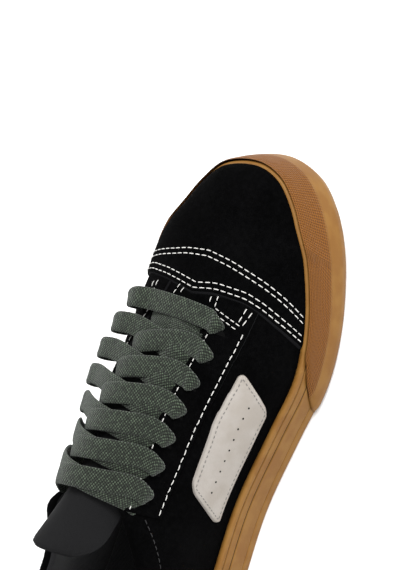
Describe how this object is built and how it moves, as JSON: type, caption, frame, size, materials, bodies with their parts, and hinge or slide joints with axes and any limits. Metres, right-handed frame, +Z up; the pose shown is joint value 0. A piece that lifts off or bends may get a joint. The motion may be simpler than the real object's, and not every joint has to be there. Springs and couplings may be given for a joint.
{
  "type": "skateboarding shoe",
  "caption": "Low-top lace-up skate shoe with suede toe cap and eyestays, padded collar, and a gum rubber cup sole with a textured toe bumper",
  "frame": {"origin": "under the middle of the shoe's length and width, on the floor", "axes": "+Y points to the toe along the shoe, +X to the outer side of the foot, +Z up"},
  "size_m": [0.103, 0.2899, 0.1136],
  "materials": {
    "gum_rubber": "satin gum rubber, fine diamond texture on the toe bumper",
    "black_suede": "nappy suede",
    "black_suede_overlay": "nappy suede with stitched edges",
    "green_cotton": "flat woven lace",
    "off_white_leather": "smooth leather",
    "black_lining": "textile lining"
  },
  "bodies": {
    "root": {"outsole": "gum_rubber", "sidewall": "gum_rubber", "toe_bumper": "gum_rubber", "insole": "black_lining", "upper": "black_suede", "toe_cap": "black_suede_overlay", "heel_counter": "black_suede_overlay", "eyestay_outer": "black_suede_overlay", "eyestay_inner": "black_suede_overlay", "side_patch_outer": "off_white_leather", "side_patch_inner": "off_white_leather", "tongue": "black_suede", "laces": "green_cotton"}
  },
  "joints": []
}
